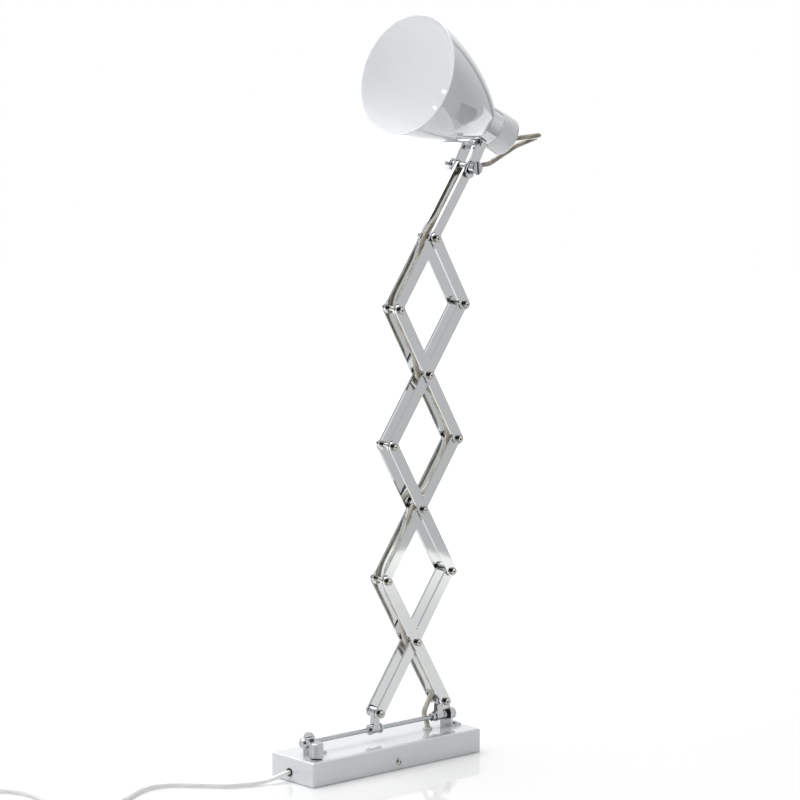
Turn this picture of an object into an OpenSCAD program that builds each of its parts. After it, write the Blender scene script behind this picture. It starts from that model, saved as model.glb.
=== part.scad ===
// Extendable wall lamp. A box on the wall carries a guide rod, a scissor arm swings and folds on the
// rod, and a shade tilts at the end of the arm. Millimetres: the wall is Z = 0 and Z points away from
// it, X runs along the guide rod towards the fixed pivot, and the front is -Y.

/* [Base] */
// length of the box on the wall
base_length = 242; // [230:1:260]
// width of the box on the wall
base_width = 70; // [62:1:84]
// depth of the box, out from the wall
base_height = 26; // [24:0.5:32]
// radius of the rounded edges of the box
base_edge = 2.5; // [2:0.25:4]
// sheet thickness of the box
base_wall = 1.5; // [1.2:0.1:2]
// distance between the two wall screw slots
slot_spacing = 160; // [140:1:180]
// diameter of the dimmer knob
knob_diameter = 15; // [14.5:0.5:18]
// height of the dimmer knob
knob_height = 16; // [12:0.5:20]

/* [Guide rod] */
// diameter of the guide rod
rod_diameter = 5; // [4:0.25:6]
// height of the guide rod above the box
rod_lift = 13; // [12:0.5:16]
// distance from the right end of the box to the fixed pivot
swivel_inset = 32; // [31.5:0.25:35]
// length of the sliding barrel
slider_length = 15.5; // [12:0.5:24]
// height of the two base pivots above the rod's axis
pivot_height = 19; // [17:0.5:22]

/* [Arm] */
// length of a limb between its end pivots
limb_length = 175; // [150:1:200]
// angle between a limb and the rod at rest
fold_angle = 57.7; // [50:0.1:66]
// how far the arm leans to the front at rest
arm_swing = 3.6; // [-10:0.2:10]
// width of a limb's flat bar
bar_width = 12.5; // [11:0.5:15]
// thickness of a limb's flat bar
bar_thickness = 2.5; // [2:0.25:3]
// free space between the two bars of the inner limbs
inner_gap = 12; // [12:0.25:16]
// diameter of the scissor bolts
pin_diameter = 4; // [3.5:0.25:4.5]

/* [Head] */
// how far the shade points up at rest
head_tilt = 27.4; // [10:0.2:40]
// how far the shade is turned on its yoke, away from the front
head_turn = 7; // [0:1:10]
// distance from the tilt bolt to the shade's axis
head_offset = 51.5; // [49:0.5:58]
// diameter of the shade's bell where it is widest
shade_diameter = 129.5; // [120:0.5:140]
// length of the shade on its axis, neck to opening
shade_length = 110.5; // [100:0.5:120]
// slant of the shade's opening, away from square to the axis
mouth_slant = 13.7; // [0:0.1:16]
// wall of the shade
shade_wall = 1.2; // [1:0.1:1.5]
// diameter of the neck ring
ring_diameter = 42.5; // [42:0.5:46]
// length of the rear cap
cap_length = 25; // [23:0.5:34]

/* [Leads] */
// diameter of the cable in the arm
cable_diameter = 5; // [4:0.25:5]
// diameter of the mains cord
cord_diameter = 5; // [4:0.25:5]
// loops in the put-away coil of the mains cord
coil_loops = 7; // [5:1:9]

/* [Hidden] */
$fn = 48;

// radial clearance of a turning pin or a bolt in its hole
fit = 0.05;
// radial clearance at a pivot that closes a loop of limbs
loose = 0.3;
// gap between neighbouring faces of the stacked bars and washers
slack = 0.05;

// heights above the wall
plate_thickness = 2;
box_ceiling = base_height - base_wall;
rod_z = base_height + rod_lift;
screw_z = 8.3;
rod_r = rod_diameter / 2;

// base features along X and Y
knob_x = -base_length / 2 + 17;
knob_y = -base_width / 2 + 15;
left_plate_x = -base_length / 2 + 23;
right_plate_x = base_length / 2 - 21;
swivel_x = base_length / 2 - swivel_inset;
tab_length = 16;
tab_height = 14;
bracket_thickness = 2.5;
bracket_width = 18;
bracket_foot = 18;
right_foot = 15;
foot_screw_y = 5;
cap_bore = 9;
rod_cap_r = 6;
collar_r = 4.5;
swivel_first = swivel_x - 6;
swivel_length = 13.7;
swivel_last = swivel_first + swivel_length;
grommet_x = swivel_x - 16;
cord_y = 4;
cord_z = 9.5;

// arm: the inner bars, a washer, then the outer bars, counted from the arm's middle plane
washer_gap = 0.8;
washer_thickness = 0.6;
inner_face = inner_gap / 2;
inner_back = inner_face + bar_thickness;
outer_face = inner_back + washer_gap;
outer_back = outer_face + bar_thickness;
lug_half = inner_face - 1;
neck_half = lug_half - 1.8;
neck_width = bar_width - 4.5;
pin_r = pin_diameter / 2;
spacer_r = pin_r + 1.25;
nut_r = pin_r + 1.95;
base_nut_r = pin_r + 2.3;
washer_r = 2 * pin_r;
step_x = limb_length * cos(fold_angle);
step_h = limb_length * sin(fold_angle);

// pivots in the arm's plane: distance along the rod, height above the rod's axis
function on_right(level) = [swivel_x, pivot_height + level * step_h];
function on_left(level) = [swivel_x - step_x, pivot_height + level * step_h];
function crossing(level) = [swivel_x - step_x / 2, pivot_height + (level + 0.5) * step_h];
tilt_pivot = on_right(4);

// a point of the arm's plane in the base's axes
function arm_point(x, y, h) = [x, y * cos(arm_swing) - h * sin(arm_swing),
    rod_z + y * sin(arm_swing) + h * cos(arm_swing)];

// head: lengths along the shade's axis count from the tilt bolt towards the opening
tilt_r = 2.5;
spacer_tilt_r = 4.75;
strap_below = 12;
bridge_top = 25;
ear_top = head_offset - ring_diameter / 2 + 1.1;
ear_front = -1;
bridge_thickness = 2.5;
turn_x = 4;
ring_front = 3.2;
ring_rear = -11;
ring_r = ring_diameter / 2;
ring_bore = 18;
cap_r = ring_r + 0.45;
cap_rear = ring_rear - 0.2 - cap_length;
neck_s = ring_front + 0.1;
neck_r = ring_r + 1;
shade_r = shade_diameter / 2;
bell_length = 1.191 * shade_length;
bell_lean = atan2(shade_r - neck_r, bell_length);
bell_radius = norm([shade_r - neck_r, bell_length]) / (2 * sin(bell_lean));
mouth_turn = 46.8;

// leads
cable_r = cable_diameter / 2;
cord_r = cord_diameter / 2;
bush_r = cord_r + 1.4;
cable_pass = spacer_r + cable_r + 0.6;
bend_radius = cable_pass / (1 / sin(fold_angle) - 1);
bend_reach = bend_radius / tan(fold_angle);
entry_reach = 30;
entry_turn = 16;
seam = 0.3;
dodge_half = 32;

// tubes: a round section carried along a list of points
function unit(v) = v / norm(v);
function heading(p, i) = unit(p[min(i + 1, len(p) - 1)] - p[max(i - 1, 0)]);
function headings(p) = [for (i = [0 : len(p) - 1]) heading(p, i)];
function side_of(t) = unit(cross(t, abs(t[2]) < 0.9 ? [0, 0, 1] : [1, 0, 0]));
function square_to(n, t) = unit(n - (n * t) * t);
function carried(t, n) = [for (i = 0, v = n; i < len(t); i = i + 1,
    v = square_to(v, t[min(i, len(t) - 1)])) v];
function slice(list, first, last) = [for (i = [first : last]) list[i]];

// a smooth curve through hand-chosen points, with k rings to a span
function before(p, i) = i > 0 ? p[i - 1] : 2 * p[0] - p[1];
function after(p, i) = i < len(p) - 2 ? p[i + 2] : 2 * p[len(p) - 1] - p[len(p) - 2];
function blend4(a, b, c, d, u) = 0.5 * (2 * b + (c - a) * u + (2 * a - 5 * b + 4 * c - d) * u * u
    + (3 * b - a - 3 * c + d) * u * u * u);
function smooth(p, k) = concat([for (i = [0 : len(p) - 2]) for (j = [0 : k - 1])
    blend4(before(p, i), p[i], p[i + 1], after(p, i), j / k)], [p[len(p) - 1]]);

// straight stretches joined by round bends of given radii
function bend(a, b, c, r) = let (u = unit(a - b), v = unit(c - b), half = acos(u * v) / 2,
    turn = 180 - 2 * half, middle = b + unit(u + v) * r / sin(half), e = unit(b + u * r / tan(half) - middle),
    g = square_to(b + v * r / tan(half) - middle, e), n = max(2, ceil(turn / 15)))
    [for (i = [0 : n]) middle + r * (cos(turn * i / n) * e + sin(turn * i / n) * g)];
function bent(p, radii) = concat([p[0]],
    [for (i = [1 : len(p) - 2]) for (q = bend(p[i - 1], p[i], p[i + 1], radii[i - 1])) q], [p[len(p) - 1]]);

module tube(p, t, r, sides) {
    n = carried(t, side_of(t[0]));
    last = len(p) - 1;
    points = [for (i = [0 : last]) for (k = [0 : sides - 1])
        p[i] + r * (cos(360 * k / sides) * n[i] + sin(360 * k / sides) * cross(t[i], n[i]))];
    walls = [for (i = [0 : last - 1]) for (k = [0 : sides - 1])
        let (a = i * sides + k, b = i * sides + (k + 1) % sides)
        for (f = [[a, a + sides, b + sides], [a, b + sides, b]]) f];
    first_end = [for (k = [1 : sides - 2]) [0, k, k + 1]];
    last_end = [for (k = [1 : sides - 2]) [last * sides, last * sides + k + 1, last * sides + k]];
    polyhedron(points = points, faces = concat(walls, first_end, last_end), convexity = 10);
}

module tube_part(path, first, last, r, sides) {
    tube(slice(path, first, last), slice(headings(path), first, last), r, sides);
}

// frames
module arm_frame() {
    translate([0, 0, rod_z]) rotate([arm_swing, 0, 0]) children();
}

module at_pivot(p) {
    arm_frame() translate([p[0], 0, p[1]]) children();
}

module along_limb(p, angle) {
    at_pivot(p) rotate([0, -angle, 0]) children();
}

// local Z towards the front
module facing_front() {
    rotate([90, 0, 0]) children();
}

// local Z along +X
module along_rod(x) {
    translate([x, 0, 0]) rotate([0, 90, 0]) children();
}

// at the tilt bolt: -X towards the opening, Z from the bolt to the shade's axis
module head_frame() {
    at_pivot(tilt_pivot) rotate([0, head_tilt, 0]) children();
}

// on the shade's axis: local Z is the distance towards the opening
module shade_axis() {
    head_frame() translate([turn_x, 0, head_offset]) rotate([0, 0, -head_turn]) translate([-turn_x, 0, 0])
        rotate([0, -90, 0]) children();
}

module ring_of(outer, inner, height) {
    difference() {
        cylinder(r = outer, h = height);
        translate([0, 0, -1]) cylinder(r = inner, h = height + 2);
    }
}

module pan_screw(head_r, head_h, shank_r, shank_h) {
    difference() {
        union() {
            cylinder(r = head_r, h = head_h * 0.55);
            translate([0, 0, head_h * 0.55]) cylinder(r1 = head_r, r2 = head_r * 0.7, h = head_h * 0.45);
            translate([0, 0, -shank_h]) cylinder(r = shank_r, h = shank_h + 0.1);
        }
        translate([-head_r * 0.55, -0.45, head_h * 0.45]) cube([head_r * 1.1, 0.9, head_h]);
        translate([-0.45, -head_r * 0.55, head_h * 0.45]) cube([0.9, head_r * 1.1, head_h]);
    }
}

// base on the wall

module slot_shape(length, width) {
    square([length - width, width], center = true);
    translate([-(length - width) / 2, 0]) circle(d = width);
    translate([(length - width) / 2, 0]) circle(d = width);
}

module wall_plate() {
    half_x = base_length / 2 - base_wall - 0.3;
    half_y = base_width / 2 - base_wall - 0.3;
    color([0.72, 0.73, 0.75]) {
        difference() {
            union() {
                translate([-half_x, -half_y, 0]) cube([2 * half_x, 2 * half_y, plate_thickness]);
                for (side = [-1, 1]) {
                    translate([-tab_length / 2, side * (half_y - 0.75) - 0.75, 0])
                        cube([tab_length, 1.5, tab_height]);
                }
            }
            for (side = [-1, 1]) {
                translate([side * slot_spacing / 2, 0, -1]) linear_extrude(height = plate_thickness + 2)
                    slot_shape(10, 5);
                translate([0, side * (half_y + 1), screw_z]) rotate([side * 90, 0, 0])
                    cylinder(r = 1.5 + fit, h = 4);
            }
        }
    }
}

module rounded_box(length, width, height, edge) {
    x = length / 2 - edge;
    y = width / 2 - edge;
    translate([-x, -y, 0]) cube([2 * x, 2 * y, height]);
    translate([-x - edge, -y, 0]) cube([length, 2 * y, height - edge]);
    translate([-x, -y - edge, 0]) cube([2 * x, width, height - edge]);
    for (sx = [-1, 1]) {
        translate([sx * x, -y, height - edge]) rotate([-90, 0, 0]) cylinder(r = edge, h = 2 * y);
        for (sy = [-1, 1]) {
            translate([sx * x, sy * y, 0]) cylinder(r = edge, h = height - edge);
            translate([sx * x, sy * y, height - edge]) sphere(r = edge);
        }
    }
    for (sy = [-1, 1]) {
        translate([-x, sy * y, height - edge]) rotate([0, 90, 0]) cylinder(r = edge, h = 2 * x);
    }
}

module wall_box() {
    inner_x = base_length - 2 * base_wall;
    inner_y = base_width - 2 * base_wall;
    color([0.93, 0.93, 0.92]) {
        difference() {
            rounded_box(base_length, base_width, base_height, base_edge);
            translate([-inner_x / 2, -inner_y / 2, -1]) cube([inner_x, inner_y, box_ceiling + 1]);
            for (side = [-1, 1]) {
                translate([0, side * (base_width / 2 + 1), screw_z]) rotate([side * 90, 0, 0])
                    cylinder(r = 1.5 + fit, h = 4);
            }
            translate([-base_length / 2 - 1, cord_y, cord_z]) rotate([0, 90, 0]) cylinder(r = bush_r + fit, h = 4);
            translate([knob_x, knob_y, box_ceiling - 1]) cylinder(r = 4.5 + fit, h = 4);
            translate([grommet_x, 0, box_ceiling - 1]) cylinder(r = 4 + fit, h = 4);
            for (x = foot_screw_places) {
                for (side = [-1, 1]) {
                    translate([x, side * foot_screw_y, box_ceiling - 1]) cylinder(r = 1.5 + fit, h = 4);
                }
            }
        }
    }
}

module cover_screws() {
    color([0.75, 0.76, 0.78]) {
        for (side = [-1, 1]) {
            translate([0, side * base_width / 2, screw_z]) rotate([-side * 90, 0, 0])
                pan_screw(3.7, 2.4, 1.5, 7);
        }
    }
}

module terminal_block() {
    color([0.9, 0.89, 0.86]) {
        difference() {
            translate([-58, -4, plate_thickness]) cube([36, 20, 13]);
            for (i = [0 : 2]) {
                translate([-51 + 11 * i, -5, plate_thickness + 5]) rotate([-90, 0, 0])
                    cylinder(r = 1.9, h = 22);
                translate([-51 + 11 * i, 1, plate_thickness + 6]) cylinder(r = 1.6, h = 8);
                translate([-51 + 11 * i, 11, plate_thickness + 6]) cylinder(r = 1.6, h = 8);
            }
        }
    }
}

module dimmer_body() {
    color([0.2, 0.2, 0.21]) {
        difference() {
            union() {
                translate([knob_x - 11, knob_y - 10, box_ceiling - 12]) cube([22, 20, 12]);
                translate([knob_x, knob_y, box_ceiling - 1]) cylinder(r = 4.5, h = base_wall + 4);
            }
            translate([knob_x, knob_y, box_ceiling - 8.5]) cylinder(r = 3 + fit, h = 20);
        }
    }
}

module dimmer_nut() {
    color([0.75, 0.76, 0.78]) {
        difference() {
            translate([knob_x, knob_y, base_height]) cylinder(r = 5.8, h = 2, $fn = 6);
            translate([knob_x, knob_y, base_height - 1]) cylinder(r = 4.5 + fit, h = 4);
        }
    }
}

module dimmer_knob() {
    bottom = base_height + 1.6;
    knob_r = knob_diameter / 2;
    color([0.78, 0.79, 0.8]) {
        difference() {
            translate([knob_x, knob_y, bottom]) {
                cylinder(r = knob_r, h = knob_height - 0.7);
                translate([0, 0, knob_height - 0.7]) cylinder(r1 = knob_r, r2 = knob_r - 0.7, h = 0.7);
            }
            translate([knob_x, knob_y, bottom - 1]) ring_of(6.3, 3, 3.9);
            for (i = [0 : 23]) {
                translate([knob_x, knob_y, bottom - 1]) rotate([0, 0, 15 * i])
                    translate([knob_r + 0.15, 0, 0]) cylinder(r = 0.55, h = knob_height - 1.2, $fn = 16);
            }
        }
        translate([knob_x, knob_y, box_ceiling - 8]) cylinder(r = 3, h = base_wall + 15);
    }
}

module cord_bush() {
    x = -base_length / 2;
    color([0.92, 0.92, 0.9]) {
        difference() {
            union() {
                translate([x - 0.8, cord_y, cord_z]) rotate([0, 90, 0]) cylinder(r = bush_r + 0.7, h = 0.8);
                translate([x - 0.5, cord_y, cord_z]) rotate([0, 90, 0]) cylinder(r = bush_r, h = base_wall + 1.5);
                translate([x + base_wall + fit, cord_y, cord_z]) rotate([0, 90, 0])
                    cylinder(r = bush_r + 1, h = 1.4);
            }
            translate([x - 5, cord_y, cord_z]) rotate([0, 90, 0]) cylinder(r = cord_r + 0.4, h = 20);
        }
    }
}

module cable_grommet() {
    color([0.9, 0.9, 0.88]) {
        difference() {
            translate([grommet_x, 0, 0]) {
                translate([0, 0, base_height]) cylinder(r = 5.2, h = 1.6);
                translate([0, 0, base_height + 1.6]) cylinder(r1 = 5.2, r2 = 4.2, h = 0.9);
                translate([0, 0, box_ceiling - 1]) cylinder(r = 4, h = base_wall + 2);
                translate([0, 0, box_ceiling - 1.4 - fit]) cylinder(r = 5, h = 1.4);
            }
            translate([grommet_x, 0, base_height - 10]) cylinder(r = cable_r + 0.3, h = 20);
        }
    }
}

left_screw_x = left_plate_x + 12;
right_screw_x = right_plate_x + 9.5;
foot_screw_places = [left_screw_x, right_screw_x];

module bracket_plate(x) {
    top_r = bracket_width / 2;
    along_rod(x) rotate([0, 0, 90]) linear_extrude(height = bracket_thickness) difference() {
        union() {
            translate([-top_r, base_height]) square([bracket_width, rod_lift + 2]);
            translate([0, rod_z + 2]) circle(r = top_r);
        }
        translate([0, rod_z]) circle(r = rod_r + fit);
    }
}

module bracket_foot_plate(x, length, screw_x) {
    difference() {
        translate([x, -bracket_width / 2, base_height])
            cube([length, bracket_width, bracket_thickness]);
        for (side = [-1, 1]) {
            translate([screw_x, side * foot_screw_y, base_height - 1]) cylinder(r = 1.5 + fit, h = 5);
        }
    }
}

module left_bracket() {
    color([0.76, 0.77, 0.79]) {
        bracket_plate(left_plate_x);
        bracket_foot_plate(left_plate_x, bracket_foot, left_screw_x);
    }
}

module right_bracket() {
    color([0.76, 0.77, 0.79]) {
        bracket_plate(right_plate_x);
        bracket_foot_plate(right_plate_x, right_foot, right_screw_x);
    }
}

module bracket_screws() {
    color([0.75, 0.76, 0.78]) {
        for (x = foot_screw_places) {
            for (side = [-1, 1]) {
                translate([x, side * foot_screw_y, base_height + bracket_thickness])
                    pan_screw(2.7, 1.8, 1.5, 8);
            }
        }
    }
}

module guide_rod() {
    first = left_plate_x - cap_bore;
    last = right_plate_x + bracket_thickness + cap_bore;
    color([0.8, 0.81, 0.83]) {
        translate([0, 0, rod_z]) along_rod(first) cylinder(r = rod_r, h = last - first);
    }
}

module rod_cap() {
    difference() {
        union() {
            cylinder(r = rod_cap_r * 0.9, h = 1.2);
            translate([0, 0, 1.2]) cylinder(r = rod_cap_r, h = cap_bore - 2);
            translate([0, 0, cap_bore - 0.8]) cylinder(r1 = rod_cap_r, r2 = rod_cap_r - 2, h = 2);
        }
        translate([0, 0, -1]) cylinder(r = rod_r + fit, h = cap_bore + 1.1);
    }
}

module rod_caps() {
    color([0.78, 0.79, 0.81]) {
        translate([left_plate_x, 0, rod_z]) rotate([0, -90, 0]) rod_cap();
        translate([right_plate_x + bracket_thickness, 0, rod_z]) rotate([0, 90, 0]) rod_cap();
    }
}

module lock_nut() {
    color([0.75, 0.76, 0.78]) {
        translate([0, 0, rod_z]) along_rod(left_plate_x + bracket_thickness) difference() {
            cylinder(r = 5.2, h = 3.2, $fn = 6);
            translate([0, 0, -1]) cylinder(r = rod_r + fit, h = 6);
        }
    }
}

module stop_collar() {
    color([0.76, 0.77, 0.79]) {
        translate([0, 0, rod_z]) along_rod(swivel_first - 4.5) ring_of(collar_r, rod_r + fit, 4);
    }
}

module rod_washer() {
    color([0.1, 0.1, 0.1]) {
        translate([0, 0, rod_z]) along_rod(swivel_last + loose)
            ring_of(5.4, rod_r + fit, right_plate_x - swivel_last - loose - slack);
    }
}

// scissor arm

// a barrel round the rod with a neck up to the eye of a base pivot at x
module barrel(x, first, length, bore) {
    difference() {
        union() {
            along_rod(first) cylinder(r = 5, h = length);
            along_rod(first) cylinder(r = 5.75, h = 2.2);
            along_rod(first + length - 2.2) cylinder(r = 5.75, h = 2.2);
            translate([x - neck_width / 2, -neck_half, 0]) cube([neck_width, 2 * neck_half, pivot_height]);
            translate([x, lug_half, pivot_height]) facing_front()
                cylinder(r = bar_width / 2, h = 2 * lug_half);
        }
        along_rod(first - 1) cylinder(r = bore, h = length + 2);
        translate([x, 20, pivot_height]) facing_front() cylinder(r = pin_r + fit, h = 40);
    }
}

module swivel_barrel() {
    color([0.77, 0.78, 0.8]) {
        arm_frame() barrel(swivel_x, swivel_first, swivel_length, rod_r + fit);
    }
}

module slider_barrel() {
    color([0.77, 0.78, 0.8]) {
        arm_frame() barrel(on_left(0)[0], on_left(0)[0] - slider_length / 2, slider_length, rod_r + loose);
    }
}

// one flat bar along X from its first pivot, between Y = -bar_thickness and Y = 0
module flat_bar(length, holes) {
    facing_front() linear_extrude(height = bar_thickness) difference() {
        union() {
            translate([0, -bar_width / 2]) square([length, bar_width]);
            circle(d = bar_width);
            translate([length, 0]) circle(d = bar_width);
        }
        for (h = holes) {
            translate([h[0], 0]) circle(r = h[1]);
        }
    }
}

module bar_pair(face, length, holes) {
    translate([0, -face, 0]) flat_bar(length, holes);
    translate([0, face + bar_thickness, 0]) flat_bar(length, holes);
}

snug = pin_r + fit;
open = pin_r + loose;

module limb_a(level) {
    color([0.79, 0.8, 0.82]) {
        along_limb(on_right(level), 180 - fold_angle)
            bar_pair(outer_face, limb_length, [[0, snug], [limb_length / 2, snug], [limb_length, snug]]);
    }
}

module limb_b(level, first_hole, last_hole) {
    color([0.79, 0.8, 0.82]) {
        along_limb(on_left(level), fold_angle)
            bar_pair(inner_face, limb_length,
                [[0, first_hole], [limb_length / 2, snug], [limb_length, last_hole]]);
    }
}

module limb_a1() {
    limb_a(0);
}

module limb_b1() {
    limb_b(0, snug, open);
}

module limb_a2() {
    limb_a(1);
}

module limb_b2() {
    limb_b(1, snug, snug);
}

module limb_a3() {
    limb_a(2);
}

module limb_b3() {
    limb_b(2, open, open);
}

module limb_b4() {
    limb_b(3, snug, tilt_r + fit);
}

module limb_a4() {
    color([0.79, 0.8, 0.82]) {
        along_limb(on_right(3), 180 - fold_angle)
            bar_pair(outer_face, limb_length / 2, [[0, snug], [limb_length / 2, snug]]);
    }
}

// bolt with a rounded head at the back, dome nut at the front, washers and rings between the bars
module pivot_set(reach, spacer_half, rings, nut) {
    seat = reach + 2 * slack + washer_thickness;
    facing_front() {
        translate([0, 0, -seat]) cylinder(r = pin_r, h = 2 * seat + 2.8);
        translate([0, 0, -seat - 1.6]) cylinder(r = nut, h = 1.6);
        translate([0, 0, -seat - 2.8]) cylinder(r1 = nut * 0.6, r2 = nut, h = 1.2);
        translate([0, 0, seat + slack]) difference() {
            union() {
                cylinder(r = nut * 1.02, h = 2.6, $fn = 6);
                intersection() {
                    translate([0, 0, 1.7]) sphere(r = nut * 0.79);
                    translate([0, 0, 1]) cylinder(r = nut, h = 6);
                }
            }
            translate([0, 0, -1]) cylinder(r = pin_r + 0.03, h = 4);
        }
        for (side = [0, 1]) {
            mirror([0, 0, side]) translate([0, 0, reach + slack])
                ring_of(nut + 0.4, pin_r + 0.03, washer_thickness);
            for (ring = rings) {
                mirror([0, 0, side]) translate([0, 0, ring[0]])
                    ring_of(ring[2], pin_r + 0.03, ring[1] - ring[0]);
            }
        }
        if (spacer_half > 0) {
            translate([0, 0, -spacer_half]) ring_of(spacer_r, pin_r + 0.03, 2 * spacer_half);
        }
    }
}

washer_ring = [inner_back + slack, outer_face - slack, washer_r];

// at a pivot of an inner and an outer limb
module scissor_set(p) {
    at_pivot(p) pivot_set(outer_back, inner_face - slack, [washer_ring], nut_r);
}

module swivel_pins() {
    color([0.7, 0.68, 0.64]) {
        at_pivot(on_right(0))
            pivot_set(outer_back, 0, [[lug_half + slack, outer_face - slack, washer_r]], base_nut_r);
    }
}

module slider_pins() {
    color([0.7, 0.68, 0.64]) {
        at_pivot(on_left(0))
            pivot_set(inner_back, 0, [[lug_half + slack, inner_face - slack, washer_r]], base_nut_r);
    }
}

module pins_a1() {
    color([0.7, 0.68, 0.64]) {
        scissor_set(crossing(0));
        scissor_set(on_left(1));
    }
}

module pins_a2() {
    color([0.7, 0.68, 0.64]) {
        scissor_set(on_right(1));
        scissor_set(on_left(2));
    }
}

module pins_b2() {
    color([0.7, 0.68, 0.64]) {
        scissor_set(crossing(1));
        scissor_set(on_right(2));
    }
}

module pins_a3() {
    color([0.7, 0.68, 0.64]) {
        scissor_set(crossing(2));
        scissor_set(on_left(3));
    }
}

module pins_b4() {
    color([0.7, 0.68, 0.64]) {
        scissor_set(crossing(3));
        at_pivot(tilt_pivot) translate([0, inner_face - slack, 0]) facing_front()
            ring_of(spacer_tilt_r, tilt_r + fit, 2 * (inner_face - slack));
    }
}

module pins_a4() {
    color([0.7, 0.68, 0.64]) {
        scissor_set(on_right(3));
    }
}

// head

module strap() {
    facing_front() linear_extrude(height = bar_thickness) difference() {
        union() {
            translate([-bar_width / 2, bar_width / 2 - strap_below])
                square([bar_width, strap_below + bridge_top - bar_width / 2]);
            translate([0, bar_width / 2 - strap_below]) circle(d = bar_width);
            translate([ear_front, 0]) square([bar_width / 2 - ear_front, ear_top]);
        }
        circle(r = tilt_r + fit);
    }
}

module yoke() {
    color([0.79, 0.8, 0.82]) {
        head_frame() {
            translate([0, -outer_face, 0]) strap();
            translate([0, outer_back, 0]) strap();
            difference() {
                union() {
                    translate([-bar_width / 2, -outer_back, bridge_top - bridge_thickness])
                        cube([bar_width, 2 * outer_back, bridge_thickness]);
                    translate([turn_x, 0, bridge_top - 1])
                        cylinder(r = 4, h = head_offset - ring_r - bridge_top + 0.7);
                }
                translate([turn_x, 0, 0]) cylinder(r = 2 + fit, h = head_offset);
            }
        }
    }
}

module yoke_screw() {
    under = bridge_top - bridge_thickness;
    color([0.72, 0.72, 0.73]) {
        head_frame() translate([turn_x, 0, 0]) {
            translate([0, 0, under - 1.6]) cylinder(r = 3, h = 1.6 - slack);
            translate([0, 0, under - 1]) cylinder(r = 2, h = head_offset - ring_r - under + 3.5);
        }
    }
}

module tilt_bolt() {
    color([0.74, 0.74, 0.76]) {
        head_frame() facing_front() {
            translate([0, 0, -24]) cylinder(r = tilt_r, h = 42);
            for (side = [0, 1]) {
                mirror([0, 0, side]) translate([0, 0, inner_back + slack])
                    ring_of(5.2, tilt_r + 0.03, washer_gap - 2 * slack);
            }
        }
    }
}

module tilt_knobs() {
    color([0.78, 0.79, 0.81]) {
        head_frame() facing_front() {
            difference() {
                union() {
                    translate([0, 0, outer_back + slack]) cylinder(r = 5, h = 2);
                    translate([0, 0, outer_back + 1.6]) cylinder(r = 7.2, h = 6.8);
                    translate([0, 0, outer_back + 8.4]) cylinder(r1 = 7.2, r2 = 6.5, h = 0.8);
                }
                cylinder(r = tilt_r + 0.03, h = 18.1);
                rotate([0, 0, 35]) translate([-1.3, -9, outer_back + 7]) cube([2.6, 18, 4]);
            }
            mirror([0, 0, 1]) difference() {
                union() {
                    translate([0, 0, outer_back + slack]) cylinder(r = 4.6, h = 5);
                    translate([0, 0, outer_back + 4.8]) cylinder(r1 = 5.4, r2 = 6.75, h = 2);
                    translate([0, 0, outer_back + 6.8]) cylinder(r = 6.75, h = 5);
                    translate([0, 0, outer_back + 11.8]) cylinder(r1 = 6.75, r2 = 5.6, h = 2.2);
                    translate([0, 0, outer_back + 14]) cylinder(r1 = 5.6, r2 = 3.2, h = 1.8);
                }
                cylinder(r = tilt_r + 0.03, h = 24.5);
            }
        }
    }
}

module neck_ring() {
    color([0.8, 0.81, 0.83]) {
        difference() {
            shade_axis() translate([0, 0, ring_rear]) ring_of(ring_r, ring_bore, ring_front - ring_rear);
            head_frame() translate([turn_x, 0, 0]) cylinder(r = 2 + fit, h = head_offset);
        }
    }
}

module lamp_cap() {
    wall = 3.5;
    edge = 4.5;
    front = ring_rear - 0.2;
    corner = [for (i = [0 : 6]) [cap_r - edge + edge * cos(15 * i), cap_rear + edge - edge * sin(15 * i)]];
    color([0.86, 0.86, 0.85]) {
        shade_axis() difference() {
            rotate_extrude() polygon(concat([[0, front], [cap_r, front]], corner, [[0, cap_rear]]));
            translate([0, 0, cap_rear + wall]) cylinder(r = ring_bore + 0.1, h = cap_length);
            translate([0, 0, cap_rear - 1]) cylinder(r = 2.9, h = wall + 2);
        }
    }
}

// the shade's outline: one arc that leaves the neck and ends parallel to the axis
function bell_point(i, steps) = let (a = 2 * bell_lean * (1 - i / steps))
    [neck_r + bell_radius * (cos(a) - cos(2 * bell_lean)),
     neck_s + bell_radius * (sin(2 * bell_lean) - sin(a))];

module shade() {
    steps = 14;
    outside = [for (i = [0 : steps]) bell_point(i, steps)];
    inside = [for (i = [0 : steps])
        bell_point(steps - i, steps) + [-shade_wall, (i == steps ? shade_wall : 0)]];
    color([0.92, 0.92, 0.91]) {
        shade_axis() difference() {
            rotate_extrude($fn = 96)
                polygon(concat([[16, neck_s]], outside, inside, [[16, neck_s + shade_wall]]));
            translate([0, 0, neck_s + shade_length]) rotate([0, 0, mouth_turn]) rotate([0, -mouth_slant, 0])
                translate([-shade_diameter, -shade_diameter, 0])
                    cube([2 * shade_diameter, 2 * shade_diameter, shade_length]);
        }
    }
}

module lampholder() {
    rear = cap_rear + 4.5;
    color([0.88, 0.87, 0.84]) {
        shade_axis() difference() {
            union() {
                translate([0, 0, rear]) cylinder(r = ring_bore - 0.3, h = neck_s - 0.05 - rear);
                translate([0, 0, 0]) cylinder(r = 15.5, h = 9);
                translate([0, 0, neck_s + shade_wall + 0.05]) cylinder(r = 18.5, h = 4);
                translate([0, 0, 7]) cylinder(r = 14, h = 27);
            }
            translate([0, 0, 8]) cylinder(r = 7.1, h = 40);
            head_frame_hole();
        }
    }
}

// room inside the lampholder for the end of the yoke screw
module head_frame_hole() {
    translate([-head_offset, 0, -turn_x]) rotate([0, 90, 0]) cylinder(r = 3, h = head_offset - ring_r + 8);
}

// leads

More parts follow.
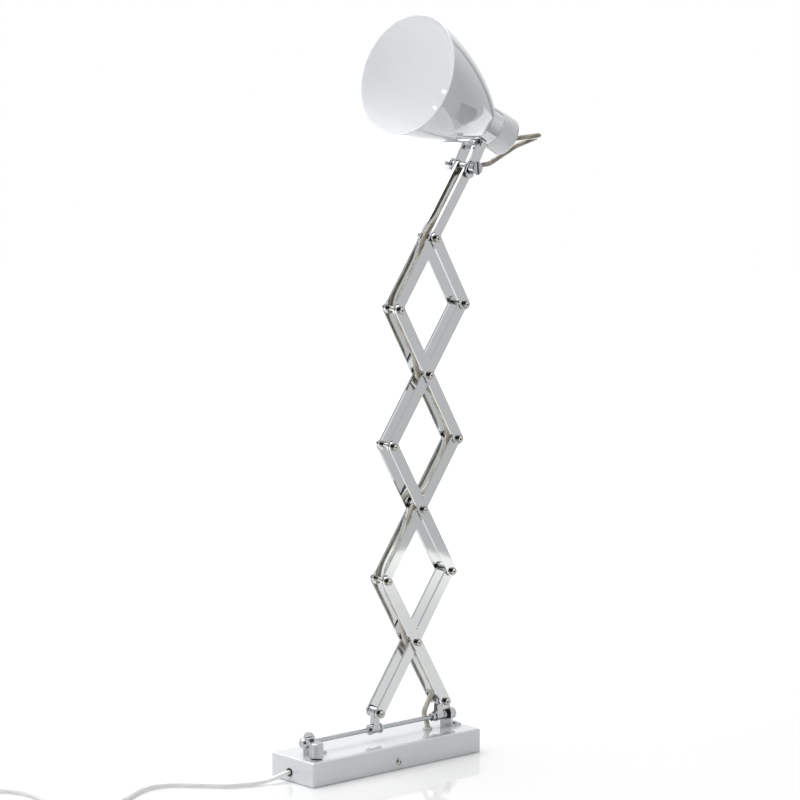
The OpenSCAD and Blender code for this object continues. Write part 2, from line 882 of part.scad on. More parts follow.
// one cable from the grommet, behind the rod, into the first limb
entry_corners = [
    [grommet_x, 0, base_height - 6],
    [grommet_x, 0, base_height + 6],
    [grommet_x + 3.8, rod_r + cable_r + 7, rod_z + 2],
    arm_point(swivel_x - entry_turn * cos(fold_angle), 0.3, pivot_height + entry_turn * sin(fold_angle)),
    arm_point(swivel_x - entry_reach * cos(fold_angle), 0, pivot_height + entry_reach * sin(fold_angle))];
entry_path = bent(entry_corners, 2 * cable_diameter * [1, 1, 1.2]);
// the swivel carries the cable on from the middle of the bend behind the rod
entry_split = 8;

module cable_riser() {
    color([0.72, 0.68, 0.6]) {
        tube_part(entry_path, 0, entry_split, cable_r, 8);
    }
}

module cable_entry() {
    color([0.72, 0.68, 0.6]) {
        tube_part(entry_path, entry_split, len(entry_path) - 1, cable_r, 8);
    }
}

// along a limb, stepping aside at the crossing bolt
function dodge(u) = abs(u) < dodge_half ? cable_pass * 0.5 * (1 + cos(180 * u / dodge_half)) : 0;
dodge_steps = [for (i = [-6 : 6]) dodge_half * i / 6];

module cable_run(p, angle, first, last) {
    middle = limb_length / 2;
    path = concat([[first, 0, 0]], [for (u = dodge_steps) [middle + u, 0, dodge(u)]], [[last, 0, 0]]);
    color([0.72, 0.68, 0.6]) {
        along_limb(p, angle) tube_part(path, 0, len(path) - 1, cable_r, 8);
    }
}

// round the inside of an end pivot, from one limb to the next
module cable_bend(p, side) {
    color([0.72, 0.68, 0.6]) {
        at_pivot(p) translate([side * bend_radius / sin(fold_angle), 0, 0]) facing_front()
            rotate([0, 0, (side > 0 ? 180 : 0) - (90 - fold_angle)])
            rotate_extrude(angle = 2 * (90 - fold_angle)) translate([bend_radius, 0])
            circle(r = cable_r, $fn = 24);
    }
}

module cable_run_a1() {
    cable_run(on_right(0), 180 - fold_angle, entry_reach + seam, limb_length - bend_reach);
}

module cable_bend_1() {
    cable_bend(on_left(1), 1);
}

module cable_run_b2() {
    cable_run(on_left(1), fold_angle, bend_reach, limb_length - bend_reach);
}

module cable_bend_2() {
    cable_bend(on_right(2), -1);
}

module cable_run_a3() {
    cable_run(on_right(2), 180 - fold_angle, bend_reach, limb_length - bend_reach);
}

module cable_bend_3() {
    cable_bend(on_left(3), 1);
}

module cable_run_b4() {
    cable_run(on_left(3), fold_angle, bend_reach, limb_length - loop_reach - seam);
}

// the slack loop from the last limb, past the tilt bolt, round and into the rear cap
loop_reach = 22;
function head_point(x, y, z) = [tilt_pivot[0] + x * cos(head_tilt) + z * sin(head_tilt), y,
    tilt_pivot[1] - x * sin(head_tilt) + z * cos(head_tilt)];
function cap_point(s, side, up) = head_point(turn_x + (-s - turn_x) * cos(head_turn) + side * sin(head_turn),
    side * cos(head_turn) - (-s - turn_x) * sin(head_turn), head_offset + up);
function from_bolt(x, y, h) = [tilt_pivot[0] + x, y, tilt_pivot[1] + h];
function loop_corner(x, y, h) = from_bolt(loop_reach * x, loop_reach * y, loop_reach * h);
loop_corners = [
    from_bolt(-loop_reach * cos(fold_angle), 0, -loop_reach * sin(fold_angle)),
    loop_corner(-0.268, 0, -0.423),
    loop_corner(1.364, 0.218, -0.005),
    loop_corner(1.818, 0.264, 0.005),
    loop_corner(3.818, 0.523, 0.782),
    loop_corner(5.009, 0.709, 1.045),
    loop_corner(4.918, -0.245, 1.405),
    cap_point(cap_rear - 4, 0, 0),
    cap_point(cap_rear + 4, 0, 0)];
loop_path = bent(loop_corners, 2 * cable_diameter * [1.2, 4, 2.4, 6, 1.02, 1.02, 1]);

module cable_loop() {
    color([0.72, 0.68, 0.6]) {
        arm_frame() tube_part(loop_path, 0, len(loop_path) - 1, cable_r, 8);
    }
}

// mains cord: out of the box, along the floor, into a put-away coil
coil_x = -408;
coil_y = 215;
coil_start = 252;
coil_pitch = cord_diameter + 0.55;
coil_rise = cord_diameter + 0.55;
coil_turn_r = 5.9 * cord_diameter - coil_pitch * coil_loops / 4;
coil_z = cord_r + 0.8;
function coil_r(t) = coil_turn_r + coil_pitch * abs(t - coil_loops / 2);
function coil_climb(t) = min(1, max(0, 2 * (t - coil_loops / 2) + 0.5));
function coil_point(t) = [coil_x + coil_r(t) * cos(coil_start - 360 * t),
    coil_y + coil_r(t) * sin(coil_start - 360 * t), coil_z + coil_rise * coil_climb(t)];
coil_along = [sin(coil_start), -cos(coil_start), 0];
coil_in = coil_point(0);
coil_out = coil_point(coil_loops);
wound = [for (i = [1 : 24 * coil_loops - 1]) coil_point(i / 24)];
cord_end = coil_out + 4.4 * cord_diameter * coil_along;
coil_path = concat([coil_in - cord_diameter * coil_along, coil_in], wound,
    [coil_out, coil_out + cord_diameter * coil_along, cord_end]);

box_end = -base_length / 2;
cord_points = [
    [box_end + 4, cord_y, cord_z],
    [box_end - 3, cord_y, cord_z - 0.05],
    [box_end - 11, cord_y + 0.7, cord_z - 1.4],
    [box_end - 19.5, cord_y + 2.9, cord_r + 2.9],
    [box_end - 28.5, cord_y + 6, cord_r + 0.8],
    [box_end - 38.5, cord_y + 9.2, cord_r + 0.1],
    [box_end - 52, cord_y + 13.6, cord_r],
    [-189, 26.5, cord_r],
    [-208, 46, cord_r],
    [-232.5, 68.5, cord_r],
    [-256, 73.5, cord_r],
    [-283.4, 63, cord_r],
    [-306.7, 50, cord_r],
    [-330, 43, cord_r],
    [-352, 51, cord_r],
    [-365, 72, cord_r],
    [-368, 103, cord_r],
    [-366.5, 133, cord_r],
    [-372.5, 156, cord_r],
    [-387, 169, cord_r + 0.2],
    coil_in - 3 * cord_diameter * coil_along - [0, 0, 0.25],
    coil_in - cord_diameter * coil_along];
cord_path = concat(smooth(cord_points, 3), [coil_in]);

module mains_cord() {
    color([0.88, 0.88, 0.86]) {
        tube_part(cord_path, 0, len(cord_path) - 2, cord_r, 8);
    }
}

coil_gap = min([for (i = [0 : len(coil_path) - 1]) for (j = [i + 12 : 1 : len(coil_path) - 1])
    norm(coil_path[i] - coil_path[j])]) - cord_diameter;
echo(least_gap_in_the_cord_coil = coil_gap);

module cord_coil() {
    color([0.88, 0.88, 0.86]) {
        tube_part(coil_path, 0, len(coil_path) - 1, cord_r, 6);
    }
}

module cord_tie() {
    tie = 0.6;
    near = coil_turn_r - cord_r - 0.5;
    far = coil_r(0) + cord_r + 0.5;
    top = coil_z + coil_rise + cord_r + 0.3;
    color([0.15, 0.15, 0.16]) {
        translate([coil_x, coil_y, 0]) rotate([0, 0, coil_start + 90]) difference() {
            translate([near - tie, -3, 0]) cube([far - near + 2 * tie, 6, top + tie]);
            translate([near, -4, tie]) cube([far - near, 8, top - tie]);
        }
    }
}

// the plug lies beside the coil, at the cord's end
module plug_frame() {
    translate(cord_end) rotate([0, 0, coil_start - 90]) children();
}

plug_length = 24;
plug_width = 26;
plug_sleeve = 14;
pin_half = 9.5;
pin_out = 18.5;
plug_tip = plug_sleeve + plug_length;

module plug_body() {
    half = coil_out[2] - 0.2;
    color([0.93, 0.93, 0.92]) {
        plug_frame() difference() {
            union() {
                rotate([0, 90, 0]) cylinder(r1 = cord_r + 1, r2 = cord_r + 2, h = plug_sleeve);
                translate([plug_sleeve, -plug_width / 2, -half]) cube([plug_length, plug_width, 2 * half]);
                translate([plug_sleeve - 4, -plug_width / 3, -half + 1])
                    cube([6, plug_width / 1.5, 2 * half - 2]);
            }
            for (side = [-1, 1]) {
                translate([plug_tip - 8, side * pin_half, 0]) rotate([0, 90, 0])
                    cylinder(r = 2 + fit, h = 10);
            }
        }
    }
}

module plug_pins() {
    color([0.76, 0.75, 0.7]) {
        plug_frame() for (side = [-1, 1]) {
            translate([plug_tip - 7.5, side * pin_half, 0]) rotate([0, 90, 0])
                cylinder(r = 2, h = pin_out + 6.5);
            translate([plug_tip + pin_out - 1, side * pin_half, 0]) rotate([0, 90, 0])
                cylinder(r1 = 2, r2 = 1.2, h = 1);
        }
    }
}

wall_plate();
wall_box();
cover_screws();
terminal_block();
dimmer_body();
dimmer_nut();
dimmer_knob();
cord_bush();
cable_grommet();
left_bracket();
right_bracket();
bracket_screws();
guide_rod();
rod_caps();
lock_nut();
stop_collar();
rod_washer();
swivel_barrel();
swivel_pins();
slider_barrel();
slider_pins();
limb_a1();
pins_a1();
limb_b1();
limb_a2();
pins_a2();
limb_b2();
pins_b2();
limb_a3();
pins_a3();
limb_b3();
limb_b4();
pins_b4();
limb_a4();
pins_a4();
yoke();
yoke_screw();
tilt_bolt();
tilt_knobs();
neck_ring();
lamp_cap();
shade();
lampholder();
cable_riser();
cable_entry();
cable_run_a1();
cable_bend_1();
cable_run_b2();
cable_bend_2();
cable_run_a3();
cable_bend_3();
cable_run_b4();
cable_loop();
mains_cord();
cord_coil();
cord_tie();
plug_body();
plug_pins();
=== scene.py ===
"""Extendable scissor-arm lamp: finishes, leads, spun shade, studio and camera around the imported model.

Lengths are millimetres in the part's own frame: X along the guide rod, -Y to the front, Z up. The studio at the end
is in metres of the same frame.
"""
from math import acos, asin, atan2, ceil, cos, degrees, hypot, pi, radians, sin, tan

import bpy
from mathutils import Matrix, Vector


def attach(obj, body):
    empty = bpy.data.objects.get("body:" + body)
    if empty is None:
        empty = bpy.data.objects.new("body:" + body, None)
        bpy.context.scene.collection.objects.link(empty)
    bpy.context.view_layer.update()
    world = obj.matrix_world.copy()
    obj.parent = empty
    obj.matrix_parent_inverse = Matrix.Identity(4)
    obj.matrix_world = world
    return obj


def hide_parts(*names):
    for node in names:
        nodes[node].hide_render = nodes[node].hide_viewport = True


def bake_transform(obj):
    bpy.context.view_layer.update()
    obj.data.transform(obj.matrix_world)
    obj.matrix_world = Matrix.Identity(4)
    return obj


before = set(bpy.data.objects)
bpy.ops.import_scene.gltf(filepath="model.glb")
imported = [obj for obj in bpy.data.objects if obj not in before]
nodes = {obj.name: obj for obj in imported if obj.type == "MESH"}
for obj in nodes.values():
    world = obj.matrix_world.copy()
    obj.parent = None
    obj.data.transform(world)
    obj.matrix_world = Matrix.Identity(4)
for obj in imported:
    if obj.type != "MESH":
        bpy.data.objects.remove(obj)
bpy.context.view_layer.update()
MM = 0.001

# the part's sizes, as its source has them
ROD_Z = 39.0            # guide rod above the wall
SWIVEL_X = 89.0         # the fixed pivots along the rod
PIVOT_H = 19.0          # the lowest pivots above the rod
LIMB = 175.0            # a limb between its end pivots
FOLD = radians(57.7)    # a limb from the rod's direction
SWING = radians(3.6)    # the arm's plane from upright
TILT = radians(27.4)    # the head in the arm's plane
TURN = radians(7.0)     # the shade on its yoke, about the yoke screw
TURN_X = 4.0            # the yoke screw behind the tilt bolt
HEAD_OFFSET = 51.5      # the shade's axis from the tilt bolt
CAP_REAR = -36.2        # back of the rear cap, along the shade's axis
CABLE_D = 5.0
CORD_D = 5.0

scene = bpy.context.scene
scene.view_settings.view_transform = "Standard"


# places

def in_arm(x, y, h):
    """A point of the arm's own plane, h above the rod, in the part's frame."""
    return Vector((x, y * cos(SWING) - h * sin(SWING), ROD_Z + y * sin(SWING) + h * cos(SWING)))


RIGHT, LEFT = SWIVEL_X, SWIVEL_X - LIMB * cos(FOLD)
STEP = LIMB * sin(FOLD)
BOLT = (RIGHT, PIVOT_H + 4 * STEP)


def from_bolt(x, y, h):
    """A point of the arm's plane, counted from the tilt bolt."""
    return in_arm(BOLT[0] + x, y, BOLT[1] + h)


def in_head(x, y, z):
    """A point of the tilted head: -x towards the opening, z from the bolt to the shade's axis."""
    return from_bolt(x * cos(TILT) + z * sin(TILT), y, -x * sin(TILT) + z * cos(TILT))


def on_shade(s, side, up):
    """A point s along the shade's axis towards the opening, with two distances across it."""
    x = -s - TURN_X
    return in_head(TURN_X + x * cos(TURN) + side * sin(TURN), side * cos(TURN) - x * sin(TURN), HEAD_OFFSET + up)


# meshes

# an edge that turns further than this stays sharp
SHARP_FROM = radians(40)


def mesh_piece(name, points, faces, body, materials, face_slots=None, smooth=True):
    """A mesh in metres from millimetre points, riding on a body."""
    mesh = bpy.data.meshes.new(name)
    mesh.from_pydata([Vector(p) * MM for p in points], [], faces)
    for material in materials:
        mesh.materials.append(material)
    if face_slots:
        mesh.polygons.foreach_set("material_index", face_slots)
    mesh.validate()
    mesh.update()
    if smooth:
        mesh.shade_smooth()
        mesh.set_sharp_from_angle(angle=SHARP_FROM)
    piece = bpy.data.objects.new(name, mesh)
    scene.collection.objects.link(piece)
    if body:
        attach(piece, body)
    return piece


def rings_to_faces(count, sides, closed_ends=True, loop=False):
    """Faces of a skin over rings of equal size, in ring order."""
    faces = []
    for i in range(count if loop else count - 1):
        a, b = i * sides, (i + 1) % count * sides
        for k in range(sides):
            n = (k + 1) % sides
            faces.append((a + k, a + n, b + n, b + k))
    if closed_ends and not loop:
        faces.append(tuple(reversed(range(sides))))
        faces.append(tuple(range((count - 1) * sides, count * sides)))
    return faces


def spun(name, profile, body, material, sides):
    """A turned piece: (s, r) points turned about the shade's axis, closed on itself."""
    points = []
    for s, r in profile:
        for k in range(sides):
            a = 2 * pi * k / sides
            points.append(on_shade(s, r * cos(a), r * sin(a)))
    return mesh_piece(name, points, rings_to_faces(len(profile), sides, loop=True), body, [material])


def tube(name, route, radius, body, material, sides=16):
    """A round lead along a route, with u along it in metres and v round it."""
    route = [Vector(p) for p in route]
    last = len(route) - 1
    headings = [(route[min(i + 1, last)] - route[max(i - 1, 0)]).normalized() for i in range(last + 1)]
    side = headings[0].orthogonal().normalized()
    points, along, run = [], [], 0.0
    for i, (p, t) in enumerate(zip(route, headings)):
        side = (side - side.dot(t) * t).normalized()
        other = t.cross(side)
        run += (p - route[i - 1]).length if i else 0.0
        along.append(run * MM)
        points += [p + radius * (cos(2 * pi * k / sides) * side + sin(2 * pi * k / sides) * other)
                   for k in range(sides)]
    faces = rings_to_faces(last + 1, sides)
    piece = mesh_piece(name, points, faces, body, [material])
    layer = piece.data.uv_layers.new(name="along_and_round")
    for polygon in piece.data.polygons:
        ks = [piece.data.loops[j].vertex_index % sides for j in polygon.loop_indices]
        wraps = max(ks) - min(ks) == sides - 1
        for j, k in zip(polygon.loop_indices, ks):
            ring = piece.data.loops[j].vertex_index // sides
            layer.data[j].uv = (along[ring], (k + (sides if wraps and k == 0 else 0)) / sides)
    return piece


def bent(corners, radii, step=6):
    """Straight stretches joined by round bends, a point every few degrees."""
    corners = [Vector(c) for c in corners]
    route = [corners[0]]
    for a, b, c, r in zip(corners, corners[1:], corners[2:], radii):
        u, v = (a - b).normalized(), (c - b).normalized()
        half = acos(max(-1, min(1, u.dot(v)))) / 2
        turn = pi - 2 * half
        middle = b + (u + v).normalized() * (r / sin(half))
        e = (b + u * (r / tan(half)) - middle).normalized()
        g = b + v * (r / tan(half)) - middle
        g = (g - g.dot(e) * e).normalized()
        n = max(2, ceil(degrees(turn) / step))
        route += [middle + r * (cos(turn * i / n) * e + sin(turn * i / n) * g) for i in range(n + 1)]
    return route + [corners[-1]]


def smooth_through(points, spans=6):
    """A smooth curve through given points."""
    points = [Vector(p) for p in points]
    ends = [2 * points[0] - points[1], *points, 2 * points[-1] - points[-2]]
    route = []
    for a, b, c, d in zip(ends, ends[1:], ends[2:], ends[3:]):
        for j in range(spans):
            u = j / spans
            route.append(0.5 * (2 * b + (c - a) * u + (2 * a - 5 * b + 4 * c - d) * u ** 2
                                + (3 * b - a - 3 * c + d) * u ** 3))
    return route + [points[-1]]


# materials

def linear(hex_colour):
    """An sRGB hex value as the linear colour that a shader takes."""
    parts = [int(hex_colour[i:i + 2], 16) / 255 for i in (1, 3, 5)]
    return [c / 12.92 if c <= 0.04045 else ((c + 0.055) / 1.055) ** 2.4 for c in parts] + [1.0]


def add(tree, kind, inputs=None, tones=(), **settings):
    """Adds a node with its settings and a ramp's tones; an input is a value or another node's output."""
    node = tree.nodes.new("ShaderNode" + kind)
    for name, value in settings.items():
        setattr(node, name, value)
    for i, tone in enumerate(tones):
        node.color_ramp.elements[i].color = linear(tone)
    for name, value in (inputs or {}).items():
        if isinstance(value, bpy.types.NodeSocket):
            tree.links.new(value, node.inputs[name])
        else:
            node.inputs[name].default_value = value
    return node


def surface(name, **sockets):
    """A new material: its node tree, its shader, and coordinates in metres of the part's frame."""
    material = bpy.data.materials.new(name)
    material.use_nodes = True
    tree = material.node_tree
    shader = tree.nodes["Principled BSDF"]
    for socket, value in sockets.items():
        shader.inputs[socket.replace("_", " ")].default_value = value
    return material, tree, shader, add(tree, "TexCoord")


def per_mm(size):
    """Texture scale of a pattern whose repeat is that many millimetres."""
    return 1.0 / (size * MM)


def hazed_metal(name, patch, roughness, tones, detail=3.0):
    """A bare or plated metal, rougher and paler in the patches of haze, which are that many millimetres across."""
    material, tree, shader, at = surface(name, Metallic=1.0)
    haze = add(tree, "TexNoise", {"Vector": at.outputs["Object"], "Scale": per_mm(patch), "Detail": detail})
    spread = add(tree, "MapRange", {"Value": haze.outputs["Fac"], "To Min": roughness[0], "To Max": roughness[1]})
    tree.links.new(spread.outputs["Result"], shader.inputs["Roughness"])
    tone = add(tree, "ValToRGB", {"Fac": haze.outputs["Fac"]}, tones)
    tree.links.new(tone.outputs["Color"], shader.inputs["Base Color"])
    return material, tree, shader, at


def moulded_nylon(name, roughness, tones):
    """Nylon with the fine grain of its spark-eroded mould."""
    material, tree, shader, at = surface(name, IOR=1.53)
    # spark grain is about 0.15 mm, drawn at 0.4 mm so that it shows
    grain = add(tree, "TexNoise", {"Vector": at.outputs["Object"], "Scale": per_mm(0.4), "Detail": 2.0})
    tone = add(tree, "ValToRGB", {"Fac": grain.outputs["Fac"]}, tones)
    tree.links.new(tone.outputs["Color"], shader.inputs["Base Color"])
    spread = add(tree, "MapRange", {"Value": grain.outputs["Fac"], "To Min": roughness[0], "To Max": roughness[1]})
    tree.links.new(spread.outputs["Result"], shader.inputs["Roughness"])
    return material, tree, shader, grain


def twisted_cores(tree, at, turn):
    """0 to 1 from one core to the next, for two cores that turn once in that many millimetres of lead."""
    split = add(tree, "SeparateXYZ", {"Vector": at.outputs["UV"]})
    turns = add(tree, "Math", {0: split.outputs["X"], 1: per_mm(turn)}, operation="MULTIPLY")
    phase = add(tree, "Math", {0: turns.outputs["Value"], 1: split.outputs["Y"]}, operation="ADD")
    angle = add(tree, "Math", {0: phase.outputs["Value"], 1: 4 * pi}, operation="MULTIPLY")
    twist = add(tree, "Math", {0: angle.outputs["Value"]}, operation="SINE")
    share = add(tree, "MapRange", {"Value": twist.outputs["Value"], "From Min": -1.0, "From Max": 1.0})
    return share.outputs["Result"]


# Gloss polyester lacquer, sprayed on steel and stoved: white, near mirror-smooth, with the faint
# orange-peel that spray leaves, which makes reflections waver.
lacquer, tree, shader, at = surface("gloss_white_lacquer", Roughness=0.03, IOR=1.6, Coat_Weight=1.0,
                                    Coat_Roughness=0.02, Coat_IOR=1.8)
# its white drifts over some 60 mm
drift = add(tree, "TexNoise", {"Vector": at.outputs["Object"], "Scale": per_mm(60), "Detail": 2.0})
tone = add(tree, "ValToRGB", {"Fac": drift.outputs["Fac"]}, ("#DCE0E4", "#E1E5E8"))
tone.color_ramp.elements[0].position, tone.color_ramp.elements[1].position = 0.3, 0.7
tree.links.new(tone.outputs["Color"], shader.inputs["Base Color"])
# orange-peel is about 2 mm across on a thin lacquer
peel = add(tree, "TexNoise", {"Vector": at.outputs["Object"], "Scale": per_mm(2.2), "Detail": 1.0})
bump = add(tree, "Bump", {"Height": peel.outputs["Fac"], "Strength": 0.015, "Distance": 0.0002})
tree.links.new(bump.outputs["Normal"], shader.inputs["Normal"])

# Satin white reflector paint inside the shade: spreads light, so its sheen is broad.
reflector, tree, shader, at = surface("satin_white_reflector_paint", Roughness=0.2, IOR=1.45)
# its white drifts over some 45 mm
drift = add(tree, "TexNoise", {"Vector": at.outputs["Object"], "Scale": per_mm(45), "Detail": 2.0})
tone = add(tree, "ValToRGB", {"Fac": drift.outputs["Fac"]}, ("#F5F7FA", "#FAFBFC"))
tree.links.new(tone.outputs["Color"], shader.inputs["Base Color"])
# paint texture of about 0.8 mm, drawn as it is
stipple = add(tree, "TexNoise", {"Vector": at.outputs["Object"], "Scale": per_mm(0.8), "Detail": 2.0})
bump = add(tree, "Bump", {"Height": stipple.outputs["Fac"], "Strength": 0.08, "Distance": 0.0002})
tree.links.new(bump.outputs["Normal"], shader.inputs["Normal"])

# Chromium plate on rolled and polished steel strip: a blue-grey mirror, wavy where the strip was
# straightened and hazed a little, in patches of 9 mm, where it was buffed.
chrome_strip, tree, shader, at = hazed_metal("chrome_plated_strip", 9, (0.03, 0.075), ("#CDCECF", "#D4D5D5"),
                                             detail=4.0)
# the strip's waviness is some 25 mm long
wave = add(tree, "TexNoise", {"Vector": at.outputs["Object"], "Scale": per_mm(25), "Detail": 1.0})
bump = add(tree, "Bump", {"Height": wave.outputs["Fac"], "Strength": 0.12, "Distance": 0.0003})
tree.links.new(bump.outputs["Normal"], shader.inputs["Normal"])

# Chromium plate on turned steel: the same mirror, softer from the lathe, with a haze of about 5 mm.
chrome_turned, *_ = hazed_metal("chrome_plated_turned_steel", 5, (0.04, 0.11), ("#C9CBCD", "#D3D5D6"))

# Chromium plate on small cast and pressed fittings: over a thinner nickel coat, so greyer than the bars, with a
# haze of about 4 mm.
chrome_fitting, *_ = hazed_metal("chrome_plated_fittings", 4, (0.04, 0.12), ("#B4B5B7", "#C4C5C7"))

# Ground and matt-chromed rod: greyer than the bright parts, with a soft sheen along it and a haze of about 4 mm.
chrome_ground, *_ = hazed_metal("matt_chromed_ground_rod", 4, (0.2, 0.32), ("#B3B5B6", "#BCBEBF"))

# Bright nickel plate on cold-headed bolts and nuts: warmer and a little duller than chromium, with a haze of
# about 2.5 mm.
nickel, *_ = hazed_metal("nickel_plated_bolts", 2.5, (0.05, 0.12), ("#B2AFAA", "#C2C0BC"))

# Pressed brass screw shell of the lampholder, bright and unlacquered, with a haze of about 2 mm.
brass, *_ = hazed_metal("pressed_brass", 2, (0.15, 0.3), ("#B99A5B", "#D3B67A"))

# Hot-dip galvanised sheet: grey zinc crystals, each with its own sheen.
zinc, tree, shader, at = surface("galvanised_sheet", Metallic=1.0)
# the crystals are about 7 mm across
spangle = add(tree, "TexVoronoi", {"Vector": at.outputs["Object"], "Scale": per_mm(7)})
tone = add(tree, "ValToRGB", {"Fac": spangle.outputs["Color"]}, ("#9EA2A5", "#BCC0C2"))
tree.links.new(tone.outputs["Color"], shader.inputs["Base Color"])
spread = add(tree, "MapRange", {"Value": spangle.outputs["Color"], "To Min": 0.28, "To Max": 0.45})
tree.links.new(spread.outputs["Result"], shader.inputs["Roughness"])

# Moulded nylon, white: a soft sheen, broken by the relief of the grain.
nylon_white, tree, shader, grain = moulded_nylon("moulded_white_nylon", (0.3, 0.45), ("#E0DFDA", "#EAE9E5"))
bump = add(tree, "Bump", {"Height": grain.outputs["Fac"], "Strength": 0.12, "Distance": 0.0001})
tree.links.new(bump.outputs["Normal"], shader.inputs["Normal"])

# Moulded nylon, black: the same grain as a play of tone and sheen, dull and without relief. It is also
# drawn on the dimmer's steel nut as painted shade, for the dark gap under the knob.
black_nylon_and_shade, *_ = moulded_nylon("moulded_black_nylon_and_painted_shade", (0.4, 0.6), ("#151516", "#232325"))

# Woven polyester hook-and-loop band: dull black with a fine rib.
band_weave, tree, shader, at = surface("woven_polyester_band", Roughness=0.85)
# this scale draws the ribs 5 mm apart, 2 pi times the 0.8 mm that it is worked out from
rib = add(tree, "TexWave", {"Vector": at.outputs["Object"], "Scale": per_mm(0.8) / 20, "Distortion": 1.0},
          wave_type="BANDS", bands_direction="Z")
tone = add(tree, "ValToRGB", {"Fac": rib.outputs["Fac"]}, ("#19191B", "#2E2E31"))
tree.links.new(tone.outputs["Color"], shader.inputs["Base Color"])
bump = add(tree, "Bump", {"Height": rib.outputs["Fac"], "Strength": 0.4, "Distance": 0.0002})
tree.links.new(bump.outputs["Normal"], shader.inputs["Normal"])

# Satin white stove enamel on the deep-drawn rear cap: whiter than it is shiny.
enamel_cap, tree, shader, at = surface("satin_white_stove_enamel", Roughness=0.22, IOR=1.5)
# its white drifts over some 20 mm, and its orange-peel is about 1.5 mm across
drift = add(tree, "TexNoise", {"Vector": at.outputs["Object"], "Scale": per_mm(20), "Detail": 2.0})
tone = add(tree, "ValToRGB", {"Fac": drift.outputs["Fac"]}, ("#E6E7EA", "#ECEDEF"))
tree.links.new(tone.outputs["Color"], shader.inputs["Base Color"])
peel = add(tree, "TexNoise", {"Vector": at.outputs["Object"], "Scale": per_mm(1.5), "Detail": 1.0})
bump = add(tree, "Bump", {"Height": peel.outputs["Fac"], "Strength": 0.05, "Distance": 0.0002})
tree.links.new(bump.outputs["Normal"], shader.inputs["Normal"])

# Glazed steatite lampholder: cream ceramic under a thick clear glaze, clouded over some 3 mm.
steatite, tree, shader, at = surface("glazed_steatite", Roughness=0.12, IOR=1.55)
drift = add(tree, "TexNoise", {"Vector": at.outputs["Object"], "Scale": per_mm(3), "Detail": 3.0})
tone = add(tree, "ValToRGB", {"Fac": drift.outputs["Fac"]}, ("#E4DFD3", "#EDE9E0"))
tree.links.new(tone.outputs["Color"], shader.inputs["Base Color"])

# Clear PVC sheath over two tinned strands: taupe, with the pale twist of the strands showing through
# and a hard gloss on top.
clear_cable, tree, shader, at = surface("clear_pvc_twin_cable", Roughness=0.3, IOR=1.53, Coat_Weight=1.0,
                                        Coat_Roughness=0.06)
# two strands, one turn in 55 mm
strands = twisted_cores(tree, at, 55)
pale = add(tree, "ValToRGB", {"Fac": strands}, ("#B4AFA2", "#D6D2C8"))
brown = add(tree, "ValToRGB", {"Fac": strands}, ("#7F776A", "#A59D8E"))
# the sheath runs from pale to taupe-brown over the upper half metre of the arm, darker towards the top
place = add(tree, "SeparateXYZ", {"Vector": at.outputs["Object"]})
towards_top = add(tree, "MapRange", {"Value": place.outputs["Z"], "From Min": 0.1, "From Max": 0.6})
tone = add(tree, "Mix", {0: towards_top.outputs["Result"], 6: pale.outputs["Color"], 7: brown.outputs["Color"]},
           data_type="RGBA")
tree.links.new(tone.outputs[2], shader.inputs["Base Color"])

# Clear PVC mains cord over white cores: milky, with a faint grey line where the two cores meet.
clear_cord, tree, shader, at = surface("clear_pvc_mains_cord", Roughness=0.28, IOR=1.53, Coat_Weight=0.8,
                                       Coat_Roughness=0.08)
# the cores turn once in 60 mm
tone = add(tree, "ValToRGB", {"Fac": twisted_cores(tree, at, 60)}, ("#F4F4F2", "#FBFBFA"))
tree.links.new(tone.outputs["Color"], shader.inputs["Base Color"])

ARM_LIMBS = ["limb_a1", "limb_b1", "limb_a2", "limb_b2", "limb_a3", "limb_b3", "limb_b4", "limb_a4"]
FINISHES = {
    lacquer: ["wall_box"],
    chrome_strip: [*ARM_LIMBS, "yoke"],
    chrome_ground: ["guide_rod"],
    chrome_turned: ["neck_ring"],
    chrome_fitting: ["left_bracket", "right_bracket", "rod_caps", "swivel_barrel", "slider_barrel", "stop_collar",
                     "lock_nut", "dimmer_knob", "tilt_knobs", "yoke_screw"],
    nickel: ["swivel_pins", "slider_pins", "pins_a1", "pins_a2", "pins_b2", "pins_a3", "pins_b4", "pins_a4",
             "tilt_bolt", "bracket_screws", "cover_screws", "plug_pins"],
    zinc: ["wall_plate"],
    nylon_white: ["terminal_block", "cable_grommet"],
    # the dimmer's nut is steel: its black is painted shade, for the dark gap under the knob
    black_nylon_and_shade: ["rod_washer", "dimmer_body", "dimmer_nut", "cord_bush"],
    enamel_cap: ["lamp_cap"],
    steatite: ["lampholder"],
}
for finish, names in FINISHES.items():
    for name in names:
        mesh = nodes[name].data
        mesh.materials.clear()
        mesh.materials.append(finish)

# a small round on the edges of the strip and sheet pieces, which catches the light
EASED_R, EASED_FROM = 0.3, radians(50)
for name in [*ARM_LIMBS, "yoke", "left_bracket", "right_bracket", "wall_plate"]:
    edge = nodes[name].modifiers.new("eased_edges", "BEVEL")
    edge.width = EASED_R * MM
    edge.segments = 2
    edge.limit_method = "ANGLE"
    edge.angle_limit = EASED_FROM
    edge.harden_normals = True


# camera, from the fit of the part's corners and bolts to the photograph

